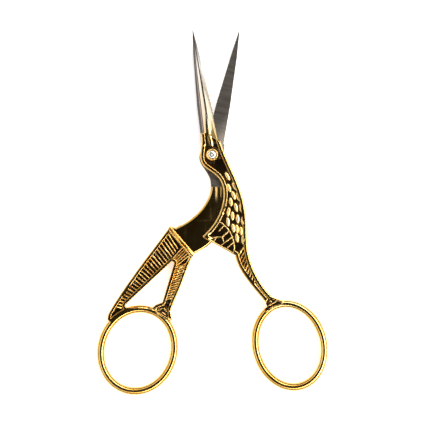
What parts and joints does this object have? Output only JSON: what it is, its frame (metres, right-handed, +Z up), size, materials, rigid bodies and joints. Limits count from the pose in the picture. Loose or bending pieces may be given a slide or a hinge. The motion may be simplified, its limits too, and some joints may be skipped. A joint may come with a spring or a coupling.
{
  "type": "stork embroidery scissors",
  "caption": "Small gilded scissors shaped like a standing stork: slender pointed blades as the beak, feathered body, legs running into oval finger rings, and a screw pivot as the eye.",
  "frame": {"origin": "on the pivot axis, in the plane of the back half's lowest rim, on which the scissors lie", "axes": "+Z up along the pivot axis, from the screw's head to the bird's eye; +Y towards the blades' tips, as in the picture; +X towards the front half's finger ring"},
  "size_m": [0.0693, 0.1095, 0.0044],
  "materials": {
    "front_half": "forged steel, plated with polished gold from the head down, blade left as polished steel",
    "back_half": "forged steel, plated with polished gold, blade polished and its inner face ground",
    "pivot_screw": "bright turned steel"
  },
  "bodies": {
    "back": {"back_half": "back_half"},
    "front": {"front_half": "front_half", "pivot_screw": "pivot_screw"}
  },
  "joints": [
    {"name": "pivot", "type": "hinge", "parent": "back", "child": "front", "pos_m": [0, 0, 0], "axis": [0, 0, 1], "range_deg": [-20.6, 60]}
  ]
}
